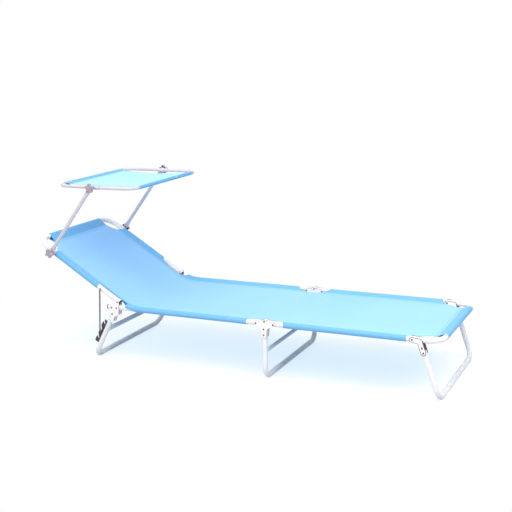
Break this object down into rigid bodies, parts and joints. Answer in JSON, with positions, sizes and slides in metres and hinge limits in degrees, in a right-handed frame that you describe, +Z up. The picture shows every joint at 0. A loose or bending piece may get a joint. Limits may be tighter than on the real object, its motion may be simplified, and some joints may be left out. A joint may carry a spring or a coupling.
{
  "type": "sun lounger with canopy",
  "caption": "Folding tubular sun lounger with a stretched cloth bed, a reclining backrest held by a wire stay in toothed racks, folding legs and a small tilting sun hood on arms.",
  "frame": {"origin": "centre of the bounding box in plan, on the floor", "axes": "+X towards the foot end, +Y to the left of a person lying on it, +Z up"},
  "size_m": [1.8306, 0.6516, 0.7761],
  "materials": {
    "white_tube": "white gloss powder coat",
    "hinge_plate": "white powder coat with bright rivets",
    "cross_bar": "white powder coat, seen in the shade",
    "stay_wire": "dark drawn wire",
    "rack": "mid grey, satin",
    "black_plastic": "black moulded plastic",
    "dark_fitting": "dark brown-grey moulded plastic",
    "knob": "mauve-grey moulded plastic",
    "lounger_cloth": "sky-blue woven cloth",
    "hood_cloth": "pale sky-blue woven cloth"
  },
  "bodies": {
    "seat_frame": {"seat_rail_right": "white_tube", "seat_rail_left": "white_tube", "seat_rail_plug_right": "black_plastic", "seat_rail_plug_left": "black_plastic", "head_plate_outer_right": "hinge_plate", "head_plate_outer_left": "hinge_plate", "head_plate_inner_right": "hinge_plate", "head_plate_inner_left": "hinge_plate", "seat_sling": "lounger_cloth"},
    "backrest": {"backrest_tube": "white_tube", "backrest_plug_right": "black_plastic", "backrest_plug_left": "black_plastic", "backrest_sling": "lounger_cloth", "canopy_clamp_right": "dark_fitting", "canopy_clamp_left": "dark_fitting"},
    "stay": {"prop_bail": "stay_wire"},
    "head_leg": {"head_leg_tube": "white_tube", "head_leg_crossbar": "cross_bar", "head_leg_rack_right": "rack", "head_leg_rack_left": "rack", "head_leg_plug_right": "black_plastic", "head_leg_plug_left": "black_plastic"},
    "mid_leg": {"mid_leg_tube": "white_tube", "mid_leg_crossbar": "cross_bar", "mid_plate_outer_right": "hinge_plate", "mid_plate_outer_left": "hinge_plate", "mid_plate_inner_right": "hinge_plate", "mid_plate_inner_left": "hinge_plate", "mid_spacer_pin_right": "hinge_plate", "mid_spacer_pin_left": "hinge_plate"},
    "foot_section": {"foot_frame_tube": "white_tube", "foot_sling": "lounger_cloth"},
    "foot_leg": {"foot_leg_tube": "white_tube", "foot_plate_outer_right": "hinge_plate", "foot_plate_outer_left": "hinge_plate", "foot_plate_inner_right": "hinge_plate", "foot_plate_inner_left": "hinge_plate", "foot_leg_cap_right": "black_plastic", "foot_leg_cap_left": "black_plastic"},
    "canopy_arms": {"canopy_arm_right": "white_tube", "canopy_arm_left": "white_tube"},
    "canopy_hood": {"canopy_rear_tube": "white_tube", "canopy_front_tube": "white_tube", "canopy_bracket_right": "dark_fitting", "canopy_bracket_left": "dark_fitting", "canopy_fabric": "hood_cloth"},
    "lower_knob_right": {"knob_lower_right": "knob"},
    "lower_knob_left": {"knob_lower_left": "knob"},
    "upper_knob_right": {"knob_upper_right": "knob"},
    "upper_knob_left": {"knob_upper_left": "knob"}
  },
  "joints": [
    {"name": "backrest_recline", "type": "hinge", "parent": "seat_frame", "child": "backrest", "pos_m": [-0.50415, 0, 0.266], "axis": [0, 1, 0], "range_deg": [0, 58.2]},
    {"name": "stay_swing", "type": "hinge", "parent": "backrest", "child": "stay", "pos_m": [-0.58762, 0, 0.31735], "axis": [0, 1, 0], "range_deg": [-35, 0]},
    {"name": "head_leg_fold", "type": "hinge", "parent": "seat_frame", "child": "head_leg", "pos_m": [-0.53215, 0, 0.21], "axis": [0, -1, 0], "range_deg": [0, 112]},
    {"name": "mid_leg_fold", "type": "hinge", "parent": "seat_frame", "child": "mid_leg", "pos_m": [0.14685, 0, 0.2392], "axis": [0, -1, 0], "range_deg": [0, 60]},
    {"name": "foot_section_fold", "type": "hinge", "parent": "mid_leg", "child": "foot_section", "pos_m": [0.22185, 0, 0.2392], "axis": [0, -1, 0], "range_deg": [0, 60]},
    {"name": "foot_leg_fold", "type": "hinge", "parent": "foot_section", "child": "foot_leg", "pos_m": [0.79285, 0, 0.2392], "axis": [0, 1, 0], "range_deg": [0, 105]},
    {"name": "canopy_arm_swing", "type": "hinge", "parent": "backrest", "child": "canopy_arms", "pos_m": [-0.82355, 0, 0.46249], "axis": [0, -1, 0], "range_deg": [-50, 95]},
    {"name": "canopy_tilt", "type": "hinge", "parent": "canopy_arms", "child": "canopy_hood", "pos_m": [-0.59976, 0, 0.7584], "axis": [0, 1, 0], "range_deg": [-60, 60]},
    {"name": "lower_knob_right_turn", "type": "hinge", "parent": "backrest", "child": "lower_knob_right", "pos_m": [-0.82355, -0.31525, 0.46249], "axis": [0, 1, 0], "continuous": true},
    {"name": "upper_knob_right_turn", "type": "hinge", "parent": "canopy_hood", "child": "upper_knob_right", "pos_m": [-0.59976, -0.31525, 0.7584], "axis": [0, 1, 0], "continuous": true},
    {"name": "lower_knob_left_turn", "type": "hinge", "parent": "backrest", "child": "lower_knob_left", "pos_m": [-0.82355, 0.31525, 0.46249], "axis": [0, 1, 0], "continuous": true},
    {"name": "upper_knob_left_turn", "type": "hinge", "parent": "canopy_hood", "child": "upper_knob_left", "pos_m": [-0.59976, 0.31525, 0.7584], "axis": [0, 1, 0], "continuous": true}
  ],
  "couplings": [
    {"joint": "stay_swing", "follows": "backrest_recline", "ratio": -0.6},
    {"joint": "foot_section_fold", "follows": "mid_leg_fold", "ratio": 1}
  ]
}
